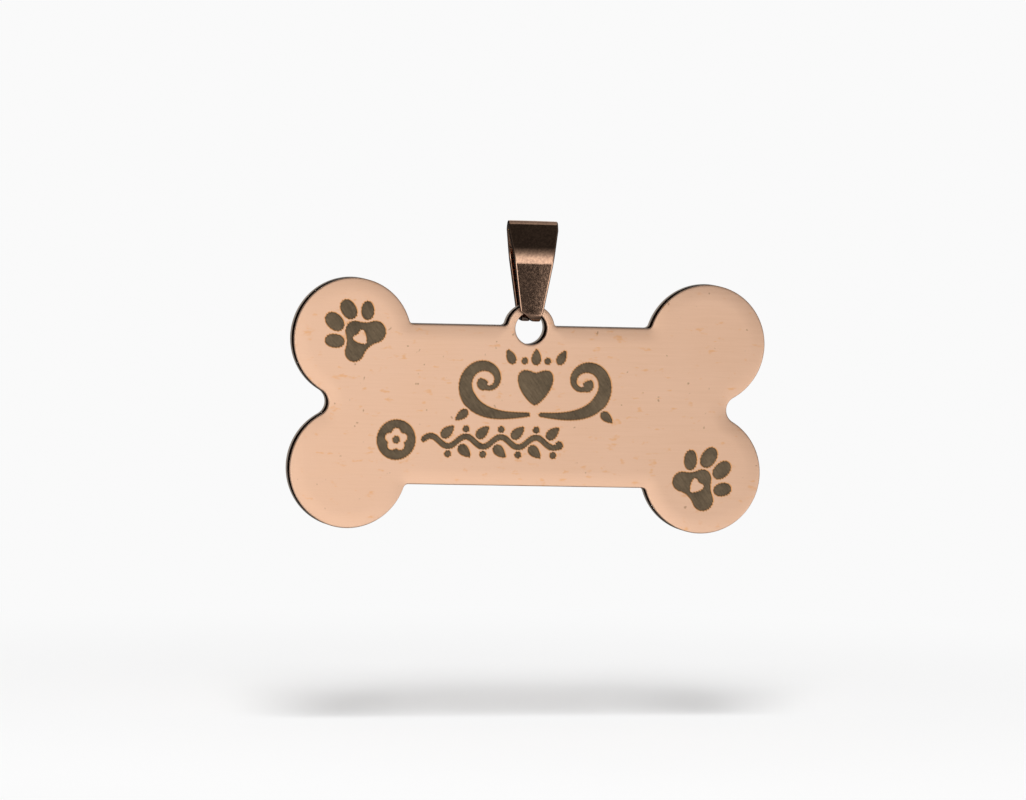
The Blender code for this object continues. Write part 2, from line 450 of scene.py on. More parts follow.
def boneOutline():
    # Arcs that touch each other, so the centres of two are as far apart as their radii
    # together, and right triangles give the rest.
    p = plate
    lobeX = p["length"] / 2 - p["lobeRadius"]
    notchX = lobeX + sqrt((p["lobeRadius"] + p["notchRadius"]) ** 2 - p["lobeHeight"] ** 2)
    toNotch = atan2(-p["lobeHeight"], notchX - lobeX)
    filletZ = p["shankHalfWidth"] + p["shankFillet"]
    reach = p["lobeRadius"] + p["shankFillet"]
    filletX = lobeX - sqrt(reach ** 2 - (filletZ - p["lobeHeight"]) ** 2)
    toFillet = atan2(filletZ - p["lobeHeight"], filletX - lobeX)
    step = p["spacing"]
    quarter = np.vstack([
        arcRun((notchX, 0.0), p["notchRadius"], pi, toNotch + pi, step, -1.0),
        arcRun((lobeX, p["lobeHeight"]), p["lobeRadius"], toNotch, toFillet, step),
        arcRun((filletX, filletZ), p["shankFillet"], toFillet - pi, -pi / 2, step, -1.0),
    ])
    earFilletZ = p["shankHalfWidth"] + p["earFillet"]
    earReach = p["earRadius"] + p["earFillet"]
    earFilletX = sqrt(earReach ** 2 - (earFilletZ - p["earHeight"]) ** 2)
    toEar = atan2(earFilletZ - p["earHeight"], earFilletX)
    side, wide = p["shankHalfWidth"], p["straightSpacing"]
    shoulder = straightRun((filletX, side), (earFilletX, side), (0.0, 1.0), wide)
    ear = np.vstack([
        arcRun((earFilletX, earFilletZ), p["earFillet"], -pi / 2, toEar - pi, step, -1.0),
        arcRun((0.0, p["earHeight"]), p["earRadius"], toEar, pi / 2, step),
    ])
    rightUp = np.vstack([quarter, shoulder, ear])
    bottom = straightRun((-filletX, -side), (filletX, -side), (0.0, -1.0), wide)
    leftDown = quarter * -1.0
    rightDown = mirrored(quarter, (1.0, -1.0))
    return closed(rightUp, mirrored(rightUp, (-1.0, 1.0)), leftDown, bottom, rightDown)


def edgeProfile(sagWidth, rollWidth, edgeRound):
    # From the front face to the back one: rows of reach, depth and tilt, for every point that
    # has a sag width of its own. The tilt grows evenly over the sag and again over the roll,
    # then an arc takes it to the wall, and the back half mirrors the front half.
    p = plate
    sagWidth = np.atleast_1d(sagWidth)[None]
    step = np.linspace(0.0, 1.0, 6)[:, None]
    rollStart = -rollWidth - edgeRound * (1 - sin(p["rollTilt"]))
    sag = [rollStart + sagWidth * (step - 1), sagWidth * p["sagTilt"] * step ** 2 / 2, p["sagTilt"] * step]
    more = p["rollTilt"] - p["sagTilt"]
    roll = [rollStart + rollWidth * step, rollWidth * (p["sagTilt"] * step + more * step ** 2 / 2),
            p["sagTilt"] + more * step]
    tilt = np.linspace(p["rollTilt"], pi / 2, 7)[:, None]
    bend = [edgeRound * (np.sin(tilt) - 1), edgeRound * (cos(p["rollTilt"]) - np.cos(tilt)), tilt]
    rows = []
    depth = 0.0
    for part in (sag, roll, bend):
        part = np.stack(np.broadcast_arrays(*part, sagWidth)[:3], axis=-1)
        part[..., 1] += depth
        depth = part[-1:, :, 1]
        rows.append(part if not rows else part[1:])
    half = np.vstack(rows)
    back = half[::-1] * np.array([1.0, -1.0, -1.0]) + np.array([0.0, p["thickness"], pi])
    # A row where the painted shade on the cut gives way to the painted reflection.
    between = half[-1:] * np.array([1.0, 0.0, 1.0]) + np.array([0.0, p["thickness"] * p["paintedShadeSplit"], 0.0])
    return np.vstack([half, between, back])


class Shell:
    # Gathers the rings and caps of one closed mesh.
    def __init__(self):
        self.points = []
        self.normals = []
        self.warmth = []
        self.faces = []
        self.finishes = []
        self.count = 0

    def addBand(self, loop, profile, side, finishes, warmth=None):
        # Carries a profile round a loop: each point moves by the profile's reach along its
        # outward direction. side is 1 where that leads outwards over the loop, -1 inwards.
        reach, depth, tilt = np.moveaxis(profile, -1, 0)
        x, z, nx, nz = loop.T
        x = x + side * nx * reach
        z = z + side * nz * reach
        y = plate["front"] + depth + 0 * x
        tilt = tilt + 0 * x
        self.points.append(np.stack([x, y, z], axis=-1).reshape(-1, 3))
        out = np.stack([side * nx * np.sin(tilt), -np.cos(tilt), side * nz * np.sin(tilt)], axis=-1)
        self.normals.append(out.reshape(-1, 3))
        warmth = np.zeros(len(profile)) if warmth is None else np.array(warmth)
        self.warmth.append(np.repeat(warmth, len(loop)))
        index = self.count + np.arange(x.size).reshape(x.shape)
        self.count += x.size
        ahead = np.roll(index, -1, axis=1)
        corners = [index[:-1], ahead[:-1], ahead[1:], index[1:]]
        if side > 0:
            corners = corners[::-1]
        quads = np.stack(corners, axis=-1).reshape(-1, 4)
        self.faces += quads.tolist()
        self.finishes += np.repeat(finishes, len(loop)).tolist()
        return index[0], index[-1]

    def addCap(self, rings, finish, back=False):
        # Fills the space between rings of points. A triangle stays where an odd number of
        # rings goes round its middle.
        ids = np.concatenate(rings)
        flat = np.vstack(self.points)[ids][:, [0, 2]]
        starts = np.cumsum([0] + [len(ring) for ring in rings])
        order = np.arange(len(ids))
        following = order + 1
        following[starts[1:] - 1] = starts[:-1]
        edges = np.stack([order, following], axis=1)
        made = delaunay_2d_cdt(flat.tolist(), edges.tolist(), [], 0, 1e-7)
        sources = np.array(next(zip(*made[3])))    # the given point that each made one came from
        triangles = sources[np.array(made[2])]
        centres = flat[triangles].mean(axis=1)
        inside = np.zeros(len(centres), int)
        for first, last in zip(starts[:-1], starts[1:]):
            inside += windings(centres, flat[first:last])
        triangles = ids[triangles[inside % 2 == 1]]
        if back:
            triangles = triangles[:, ::-1]
        self.faces += triangles.tolist()
        self.finishes += [finish] * len(triangles)

    def makeObject(self, name, finishes):
        # The mesh with its finishes and its own normals, which lean outwards along X in
        # proportion to x.
        points = np.vstack(self.points) + np.array([0.0, 0.0, plate["middle"]])
        mesh = bpy.data.meshes.new(name)
        mesh.from_pydata((points * mm).tolist(), [], self.faces)
        for finish in finishes:
            mesh.materials.append(finish)
        mesh.polygons.foreach_set("material_index", np.array(self.finishes, np.int32))
        warmth = mesh.attributes.new("warmth", "FLOAT", "POINT")
        warmth.data.foreach_set("value", np.concatenate(self.warmth).astype(np.float32))
        mesh.shade_smooth()
        normals = np.vstack(self.normals)
        lean = plate["bow"] * 2 / plate["length"] * points[:, 0]
        normals[:, 0] += np.sin(lean) * np.abs(normals[:, 1])
        normals /= np.linalg.norm(normals, axis=1)[:, None]
        mesh.normals_split_custom_set_from_vertices(normals.tolist())
        mesh.validate()
        return addObject(name, mesh)


def windings(centres, ring):
    # 1 where a ray to the right from the centre crosses the ring an odd number of times.
    start = ring[None]
    end = np.roll(ring, -1, axis=0)[None]
    height = centres[:, 1:2]
    crosses = (start[..., 1] > height) != (end[..., 1] > height)
    rise = np.where(crosses, end[..., 1] - start[..., 1], 1.0)
    meets = start[..., 0] + (height - start[..., 1]) * (end[..., 0] - start[..., 0]) / rise
    return (crosses & (meets > centres[:, :1])).sum(axis=1) % 2


# The engraving: pockets in the face, each a closed line with a lip, a wall and a flat floor

farOff = 9.0                   # more than any width or gap in the engraving

engraving = {
    "spacing": 0.036,
    "softness": 0.085,         # how far corners are rounded by the spot of the laser
    "depth": 0.07,
    "rasterPitch": 0.27,       # the teeth that scan lines leave along an edge
    "rasterReach": 0.055,
    "teeth": [(1.0, 1.0, 1.7), (0.6, 0.61, 2.9)],    # strength, share of the pitch, drift
    "rimShare": 0.38,          # of the way to the next edge
    "rimLeast": 0.045,
    "rimMost": 0.14,
    "rimFull": 0.72,           # the part of the rim that is tinted in full
    "rimAhead": 0.2,           # an edge is next to a point where it lies ahead of it, by this
    "rimFacing": 0.7,          # cosine, and where their own directions are further apart
    # heat tint at each step from the rim's far side to the floor
    "warmth": [0.0, 0.9, 1.0, 0.6, 0.0, 0.0, 0.0],
}

paw = {
    # x, z, half length, half width, lean in degrees
    "toes": [(0.95, 2.91, 1.06, 0.74, 8.0), (-0.97, 2.95, 1.10, 0.76, -8.0),
             (2.36, 1.47, 0.93, 0.64, 40.0), (-2.26, 1.46, 1.01, 0.65, -40.0)],
    "pad": [(1.52, -0.71, 1.08), (0.0, 0.88, 0.93), (-1.46, -0.78, 0.97)],    # x, z, radius
    "hollows": [2.6, 2.6, 2.2],
    "heart": (0.0, -0.24),
    "heartWidth": 1.50,
    "heartHeight": 1.52,
    "places": [((-18.09, 6.82), 43.0), ((18.26, -7.82), -40.5)],
}

flourish = {
    "middle": (0.65, 1.92),
    "heartWidth": 3.7,
    "heartHeight": 3.5,
    # start, heading, curvature along it, length, half width along it, ball at the end
    "volute": ((0.42, -2.75), -4.0, [(0.0, -0.02), (0.25, 0.16), (0.50, 0.44), (0.75, 0.62), (1.0, 1.55)],
               16.6, [(0.0, 0.15), (0.15, 0.34), (0.42, 0.74), (0.72, 0.46), (0.9, 0.22), (1.0, 0.22)], 0.56),
    # start, heading, length and width; those off the middle are mirrored
    "drops": [((2.35, 2.45), 62.0, 1.62, 0.90), ((7.10, -2.45), -38.0, 1.6, 0.86),
              ((0.0, 2.35), 90.0, 1.62, 0.98)],
    "dots": [(1.22, 2.75, 0.32)],
}

vine = {
    "start": (-11.2, -3.72),
    "length": 14.9,
    "waves": 4,
    "sway": 0.52,
    "halfWidth": 0.26,
    "leafLength": 1.70,
    "leafWidth": 1.00,
    "leafPlace": 0.12,         # of the foot, in bends along the stem
    "leafLift": 0.42,
    "leafLean": 42.0,
    "berry": 0.33,
    "berryPlace": 0.5,
    "berryGap": 0.76,          # beyond the sway
    "stemEnd": 0.40,
    "medal": (-13.9, -3.66, 2.02),
    "petals": 5,
    "petalRing": 0.76,
    "petalRadius": 0.50,
    "petalHollow": 0.13,
    "flowerMiddle": 0.36,
}


def ovalPoints(x, z, halfLong, halfWide, lean):
    # An oval a little fuller than an ellipse, leaning outwards from upright.
    turn = np.linspace(0, 2 * pi, 90, endpoint=False)
    across = halfWide * np.sign(np.cos(turn)) * np.abs(np.cos(turn)) ** 0.92
    upright = halfLong * np.sign(np.sin(turn)) * np.abs(np.sin(turn)) ** 0.96
    return placed(np.stack([across, upright], axis=1), radians(-lean), (x, z))


def heartPoints(width, height):
    # An ellipse with a soft fold in it: the square root of x squared and a little more is
    # added to the height of every point, so the tip and the notch stay round.
    turn = np.linspace(0, 2 * pi, 160, endpoint=False)
    across = np.sin(turn)
    upright = 0.95 * np.cos(turn) + 0.70 * np.sqrt(across ** 2 + 0.012)
    upright = (upright - upright.min()) / (upright.max() - upright.min()) - 0.5
    return np.stack([across * width / 2, upright * height], axis=1)


def dropPoints(start, heading, length, width):
    # A drop or leaf from its stalk: half its width is a sine of a power of the way along.
    share = np.linspace(0.0, 1.0, 60)
    half = width / 2 * np.sin(pi * share ** 0.7) ** 0.8
    upper = np.stack([share * length, half], axis=1)
    lower = np.stack([share * length, -half], axis=1)[-2:0:-1]
    return placed(np.vstack([upper, lower]), radians(heading), start)


def roundPoints(x, z, radius):
    # Even points on a circle.
    turn = np.linspace(0, 2 * pi, 60, endpoint=False)
    return np.stack([x + radius * np.cos(turn), z + radius * np.sin(turn)], axis=1)


def lobedPoints(circles, hollows):
    # Round lobes in counter-clockwise order, joined by hollow arcs that touch both neighbours.
    # A hollow's centre is as far from each lobe's centre as their radii together.
    centres = np.array([c[:2] for c in circles])
    radii = np.array([c[2] for c in circles])
    bridges = []
    for i in range(len(circles)):
        j = (i + 1) % len(circles)
        gap = centres[j] - centres[i]
        length = np.hypot(*gap)
        first, second = radii[i] + hollows[i], radii[j] + hollows[i]
        along = (first ** 2 - second ** 2 + length ** 2) / (2 * length)
        out = np.array([gap[1], -gap[0]]) / length
        bridges.append(centres[i] + gap * along / length + out * sqrt(first ** 2 - along ** 2))
    runs = []
    for i in range(len(circles)):
        j = (i + 1) % len(circles)
        start = atan2(*(bridges[i - 1] - centres[i])[::-1])
        end = atan2(*(bridges[i] - centres[i])[::-1])
        end = start + (end - start) % (2 * pi)
        runs.append(arcRun(centres[i], radii[i], start, end, 0.05)[:-1, :2])
        first = atan2(*(centres[i] - bridges[i])[::-1])
        last = atan2(*(centres[j] - bridges[i])[::-1])
        last = first - (first - last) % (2 * pi)
        runs.append(arcRun(bridges[i], hollows[i], first, last, 0.05)[:-1, :2])
    return np.vstack(runs)


def pawLoops():
    # Four toes and a pad with a heart left standing in it: loops of pockets, loops of islands.
    pockets, islands = [], []
    for centre, lean in paw["places"]:
        motifs = [ovalPoints(*toe) for toe in paw["toes"]]
        motifs.append(lobedPoints(paw["pad"], paw["hollows"]))
        pockets += [placed(motif, radians(lean), centre) for motif in motifs]
        heart = heartPoints(paw["heartWidth"], paw["heartHeight"]) + np.array(paw["heart"])
        islands.append(placed(heart, radians(lean), centre))
    return pockets, islands


def strokePoints(line, step, half, ball):
    # The two sides of a line at half its width, with round ends: near an end the half width
    # is that of a circle of the end's radius, and the far end may swell to a ball.
    length = step * (len(line) - 1)
    along = np.arange(len(line)) * step
    tip = max(half[0], 0.05)
    toTip = np.sqrt(np.clip(tip ** 2 - (along - tip) ** 2, 0, None))
    half = np.minimum(half, toTip + farOff * (along >= tip))
    toBall = np.sqrt(np.clip(ball ** 2 - (along - (length - ball)) ** 2, 0, None))
    half = np.maximum(half * (along < length - ball), toBall)
    tangent = np.gradient(line, axis=0)
    tangent /= np.hypot(*tangent.T)[:, None]
    side = np.stack([-tangent[:, 1], tangent[:, 0]], axis=1) * half[:, None]
    return np.vstack([(line + side)[1:-1], (line - side)[-2:0:-1]])


def volutePoints(start, heading, bends, length, widths, ball):
    # The heading is the curvature summed along the line, the line is the heading summed.
    share = np.linspace(0.0, 1.0, 420)
    step = length / (len(share) - 1)
    turn = radians(heading) + np.cumsum(np.interp(share, *zip(*bends))) * step
    line = np.array(start) + np.cumsum(np.stack([np.cos(turn), np.sin(turn)], axis=1), axis=0) * step
    return strokePoints(line, step, np.interp(share, *zip(*widths)), ball)


def flourishLoops():
    # A heart between mirrored volutes, with drops and dots.
    f = flourish
    motifs = [heartPoints(f["heartWidth"], f["heartHeight"])]
    sided = [volutePoints(*f["volute"])]
    sided += [dropPoints(*drop) for drop in f["drops"] if drop[0][0] > 0]
    sided += [roundPoints(*dot) for dot in f["dots"]]
    motifs += sided + [motif * np.array([-1.0, 1.0]) for motif in sided]
    motifs += [dropPoints(*drop) for drop in f["drops"] if drop[0][0] == 0]
    return [motif + np.array(f["middle"]) for motif in motifs]


def vineLoops():
    # A running vine: a sine for the stem, with a leaf and a berry in every bend. Before it
    # a round medal whose flower is left standing.
    v = vine
    along = np.linspace(0.0, v["length"], 500)
    phase = 2 * pi * v["waves"] * along / v["length"]
    line = np.array(v["start"]) + np.stack([along, v["sway"] * np.sin(phase)], axis=1)
    path = np.concatenate([[0.0], np.cumsum(np.hypot(*np.diff(line, axis=0).T))])
    even = np.linspace(0.0, path[-1], 500)
    line = np.stack([np.interp(even, path, line[:, k]) for k in (0, 1)], axis=1)
    halfWidth = np.full(len(even), v["halfWidth"])
    pockets = [strokePoints(line, even[1], halfWidth, v["stemEnd"])]
    bend = v["length"] / v["waves"] / 2
    start = np.array(v["start"])
    for k in range(1, 2 * v["waves"]):
        up = -1.0 if k % 2 == 0 else 1.0
        foot = start + np.array([bend * (k + v["leafPlace"]), up * v["leafLift"]])
        pockets.append(dropPoints(foot, up * v["leafLean"], v["leafLength"], v["leafWidth"]))
        berry = start + np.array([bend * (k + v["berryPlace"]), -up * (v["sway"] + v["berryGap"])])
        pockets.append(roundPoints(*berry, v["berry"]))
    x, z, radius = v["medal"]
    pockets.append(roundPoints(x, z, radius))
    turn = pi / 2 + 2 * pi * np.arange(v["petals"]) / v["petals"]
    ring = v["petalRing"]
    petals = [(x + ring * cos(t), z + ring * sin(t), v["petalRadius"]) for t in turn]
    islands = [lobedPoints(petals, [v["petalHollow"]] * v["petals"])]
    pockets.append(roundPoints(x, z, v["flowerMiddle"]))
    return pockets, islands


def rastered(points):
    # The loop with corners rounded by a Gaussian, and with the small teeth of scan lines: two
    # sines over the way across the lines shift it along them, and drift slowly along them.
    e = engraving
    loop = loopFrom(points, e["spacing"])
    waves = 2 * pi * np.fft.fftfreq(len(loop), e["spacing"])
    spectrum = np.fft.fft(loop[:, 0] + 1j * loop[:, 1]) * np.exp(-0.5 * (waves * e["softness"]) ** 2)
    soft = np.fft.ifft(spectrum)
    loop = loopFrom(np.stack([soft.real, soft.imag], axis=1), e["spacing"])
    lean = engravedFinish["scanLean"]
    line = np.array([cos(lean), sin(lean)])
    along, across = loop[:, :2] @ line, loop[:, :2] @ np.array([-line[1], line[0]])
    teeth = sum(strength * np.sin(2 * pi * across / (share * e["rasterPitch"]) + drift * along)
                for strength, share, drift in e["teeth"])
    loop[:, :2] += (e["rasterReach"] * teeth * np.abs(loop[:, 2:] @ line))[:, None] * line
    return loop


def rimWidths(loops, sides):
    # How far the rim reaches from each point on to the face: a share of the way to the nearest
    # edge that faces the point, between two limits. An island's face lies inside its loop.
    e = engraving
    places = np.vstack([loop[:, :2] for loop in loops]).astype(np.float32)
    facing = np.vstack([-side * loop[:, 2:] for loop, side in zip(loops, sides)]).astype(np.float32)
    widths = []
    for loop, side in zip(loops, sides):
        own = -side * loop[:, None, 2:].astype(np.float32)
        gap = places[None] - loop[:, None, :2].astype(np.float32)
        distance = np.hypot(gap[..., 0], gap[..., 1])
        ahead = (gap * own).sum(axis=2) > e["rimAhead"] * distance
        turned = own[:, 0] @ facing.T < e["rimFacing"]
        nearest = np.where(ahead & turned, distance, farOff).min(axis=1)
        widths.append(np.clip(e["rimShare"] * nearest, e["rimLeast"], e["rimMost"]))
    return widths


def pocketProfile(rim):
    # Out on the face over the rim, over a small lip, down a steep wall and on to the floor.
    depth = engraving["depth"]
    fixed = np.array([
        (-0.012, 0.004, radians(30)),
        (0.0, 0.018, radians(62)),
        (0.014, depth * 0.75, radians(62)),
        (0.024, depth * 0.95, radians(25)),
        (0.036, depth, 0.0),
    ])
    flat = np.zeros((2, len(rim), 3))
    flat[:, :, 0] = np.stack([-rim, -engraving["rimFull"] * rim])
    return np.vstack([flat, np.broadcast_to(fixed[:, None], (len(fixed), len(rim), 3))])


def makePlate(finishes):
    # Bands round the outline, the hole and every pocket, and caps between them: one for the
    # front face, one for the pockets' floors and one for the back face.
    face, burnt, paintedShadeWall, paintedReflectionWall = 0, 1, 2, 3    # places in the list of finishes
    shell = Shell()
    outline = boneOutline()
    nearEar = np.exp(-(np.abs(outline[:, 0]) / plate["earZone"]) ** 8) * (outline[:, 1] > 0)
    sagWidth = plate["sagWidth"] * (1 - plate["earSagLess"] * nearEar)
    profile = edgeProfile(sagWidth, plate["rollWidth"], plate["edgeRound"])
    steep = np.abs(profile[:, 0, 2] - pi / 2) < 1e-6
    bandFinish = np.where(steep[:-1] & steep[1:], paintedShadeWall, face)
    # The back part of the wall takes the pale finish, a painted reflection of the white backdrop; the front
    # part keeps the dark finish, a painted shade.
    behind = np.arange(len(bandFinish)) >= len(bandFinish) // 2
    bandFinish[behind & (bandFinish == paintedShadeWall)] = paintedReflectionWall
    front, back = shell.addBand(outline, profile, 1, bandFinish)

    centre = (0.0, plate["holeHeight"])
    hole = arcRun(centre, plate["holeRadius"], 0.0, 2 * pi, plate["holeSpacing"])[:-1]
    profile = edgeProfile(plate["holeSagWidth"], plate["holeRollWidth"], plate["holeEdgeRound"])
    holeFront, holeBack = shell.addBand(hole, profile, -1, bandFinish)

    pockets, islands = pawLoops()
    vinePockets, vineIslands = vineLoops()
    pockets += flourishLoops() + vinePockets
    islands += vineIslands
    loops = [rastered(points) for points in pockets + islands]
    sides = [-1] * len(pockets) + [1] * len(islands)
    lip = [face, face, face, burnt, burnt, burnt]
    frontRings, floorRings = [front, holeFront], []
    for loop, side, rim in zip(loops, sides, rimWidths(loops, sides)):
        top, bottom = shell.addBand(loop, pocketProfile(rim), side, lip, engraving["warmth"])
        frontRings.append(top)
        floorRings.append(bottom)
    shell.addCap(frontRings, face)
    shell.addCap(floorRings, burnt)
    shell.addCap([back, holeBack], face, back=True)
    return shell.makeObject("tag_plate", finishes)


# The bail: one strip carried along its folded line. Heights are above the hole's centre.

bail = {
    "thickness": 0.55,
    "foldHalfWidth": 2.56,
    "foldFlat": 1.15,
    "taper": 0.157,
    "foldTop": 11.0,
    "foldRadius": 0.65,
    "shoulderAngle": radians(32),
    "bulgeHeight": 7.5,
    "bulgeRadius": 2.5,
    "tongueHeight": 1.0,
    "tongueRadius": 0.6,
    "tongueReach": 0.75,
    "legOffset": 1.7,
    "turn": radians(-8),
    "slantStart": 1.8,
    "slantLength": 0.85,
    "tongueWidth": 0.92,
    "tongueGap": 0.1,
    "tipRound": 0.2,
    "tipNarrower": 0.7,        # how much of the end's rounding its width takes
    "tipThinner": 0.12,        # the most that it takes from half of the thickness
    "edgeAcross": 0.15,        # the rounded edge is wider across the strip than it is deep
    "edgeDeep": 0.13,
    # painted shade: a face of the strip that turns sideways by more than this takes the dark painted-shade
    # finish
    "paintedShadeShare": 0.50,          # the edge is dark where it faces sideways by more than this
    "crown": 0.012,            # the faces are very slightly domed
    "acrossSteps": np.array([0.012, 0.03, 0.15, 0.3, 0.5, 0.7, 0.85, 0.97, 0.988]),
    "spacing": 0.09,
}


def foldedLine():
    # The strip's middle line seen from the side: straight stretches with an arc at each corner.
    b = bail
    peak = b["foldTop"] - b["thickness"] / 2 - b["foldRadius"] + b["foldRadius"] / sin(b["shoulderAngle"])
    bulge = (peak - b["bulgeHeight"]) * tan(b["shoulderAngle"])
    low = b["tongueHeight"]
    half = [(b["tongueReach"], low), (-b["legOffset"], low), (-bulge, b["bulgeHeight"])]
    corners = np.array(half + [(0.0, peak)] + [(-y, z) for y, z in reversed(half)])
    radii = [b["tongueRadius"], b["bulgeRadius"], b["foldRadius"], b["bulgeRadius"], b["tongueRadius"]]
    runs = [corners[:1]]
    for before, corner, after, radius in zip(corners, corners[1:], corners[2:], radii):
        back = (before - corner) / np.hypot(*(before - corner))
        ahead = (after - corner) / np.hypot(*(after - corner))
        halfAngle = np.arccos(np.clip(back @ ahead, -1, 1)) / 2
        centre = corner + (back + ahead) / np.hypot(*(back + ahead)) * radius / sin(halfAngle)
        first = corner + back * radius / tan(halfAngle)
        last = corner + ahead * radius / tan(halfAngle)
        start = atan2(*(first - centre)[::-1])
        sweep = (atan2(*(last - centre)[::-1]) - start + pi) % (2 * pi) - pi
        runs.append(arcRun(centre, radius, start, start + sweep, b["spacing"] * 0.6)[:, :2])
    runs.append(corners[-1:])
    points = np.vstack(runs)
    along = np.concatenate([[0.0], np.cumsum(np.hypot(*np.diff(points, axis=0).T))])
    count = int(along[-1] / b["spacing"])
    stations = np.unique(np.concatenate([along, np.linspace(0.0, along[-1], count)]).round(5))
    close = np.diff(stations, prepend=-1.0) > 0.02
    stations = stations[close]
    return stations, np.stack([np.interp(stations, along, points[:, k]) for k in (0, 1)], axis=1)


def stripEdges(stations, line):
    # Where the strip's two edges are: a taper from the fold, then a slant cut to the tongue.
    # The rounding at the ends is a circle's, from its radius down to nothing.
    b = bail
    crown = stations[-1] / 2
    rising = (stations <= crown) & (line[:, 1] > b["tongueHeight"] + 1e-6)
    slant = np.interp(b["slantStart"], line[rising, 1], stations[rising])
    fromCrown = np.abs(stations - crown)
    halfWidth = b["foldHalfWidth"] - b["taper"] * np.maximum(0.0, fromCrown - b["foldFlat"])
    cut = np.clip((fromCrown - (crown - slant)) / b["slantLength"], 0.0, 1.0)
    left = (cut - 1) * halfWidth + cut * b["tongueGap"] / 2
    right = (1 - cut) * halfWidth + cut * (b["tongueGap"] / 2 + b["tongueWidth"])
    past = np.maximum(0.0, fromCrown - (crown - b["tipRound"]))
    corner = b["tipRound"] - np.sqrt(np.maximum(0.0, b["tipRound"] ** 2 - past ** 2))
    left, right = left + b["tipNarrower"] * corner, right - b["tipNarrower"] * corner
    behind = stations > crown
    return np.where(behind, -right, left), np.where(behind, -left, right), corner


def makeBail(finishes):
    # Every station has a rounded rectangle between the two edges, squared up to the line: a
    # quarter of an ellipse at each corner, and a low parabola over each face.
    b = bail
    stations, line = foldedLine()
    left, right, rounding = stripEdges(stations, line)
    run = np.gradient(line, axis=0)
    run /= np.hypot(*run.T)[:, None]
    outward = np.stack([-run[:, 1], run[:, 0]], axis=1)
    corner = np.linspace(0.0, pi / 2, 7)
    half = b["thickness"] / 2
    thin = half - np.minimum(b["tipThinner"], rounding)
    acrossSteps = b["acrossSteps"]
    pieces = []
    cut = []
    for quarter in range(4):
        turn = corner + quarter * pi / 2
        # True where this step of the edge faces sideways and so takes the painted shade.
        cut += (np.abs(np.cos(turn + corner[1] / 2)) > b["paintedShadeShare"]).tolist()
        side = right if quarter in (0, 3) else left
        inset = -1.0 if quarter in (0, 3) else 1.0
        x = side[:, None] + inset * b["edgeAcross"] + b["edgeAcross"] * np.cos(turn)
        up = 1.0 if quarter < 2 else -1.0
        out = up * (thin[:, None] - b["edgeDeep"]) + b["edgeDeep"] * np.sin(turn)
        pieces.append((x, out))
        if quarter in (0, 2):
            span = left - right + 2 * b["edgeAcross"]
            start = right - b["edgeAcross"]
            if quarter == 2:
                span = -span
                start = left + b["edgeAcross"]
            x = start[:, None] + span[:, None] * acrossSteps
            dome = b["crown"] * (1 - (2 * acrossSteps - 1) ** 2)
            pieces.append((x, up * (thin[:, None] + dome)))
            cut += [False] * len(acrossSteps)
    across = np.hstack([x for x, out in pieces])
    out = np.hstack([out for x, out in pieces])
    y = line[:, :1] + outward[:, :1] * out
    z = line[:, 1:] + outward[:, 1:] * out
    turned = np.stack([
        across * cos(b["turn"]) - y * sin(b["turn"]),
        across * sin(b["turn"]) + y * cos(b["turn"]),
        z + hinge[2],
    ], axis=-1)
    rows, columns = across.shape
    index = np.arange(rows * columns).reshape(rows, columns)
    ahead = np.roll(index, -1, axis=1)
    quads = np.stack([index[1:], ahead[1:], ahead[:-1], index[:-1]], axis=-1).reshape(-1, 4)
    faces = quads.tolist() + [index[0].tolist(), index[-1][::-1].tolist()]
    mesh = bpy.data.meshes.new("tag_bail")
    mesh.from_pydata((turned.reshape(-1, 3) * mm).tolist(), [], faces)
    for finish in finishes:
        mesh.materials.append(finish)
    # The sideways faces and the two ends take the second finish, which is painted shade.
    sides = np.tile(cut, rows - 1).tolist() + [True, True]
    mesh.polygons.foreach_set("material_index", np.array(sides, np.int32))
    mesh.shade_smooth()
    mesh.set_sharp_from_angle(angle=radians(50))
    return addObject("tag_bail", mesh)


# The stage

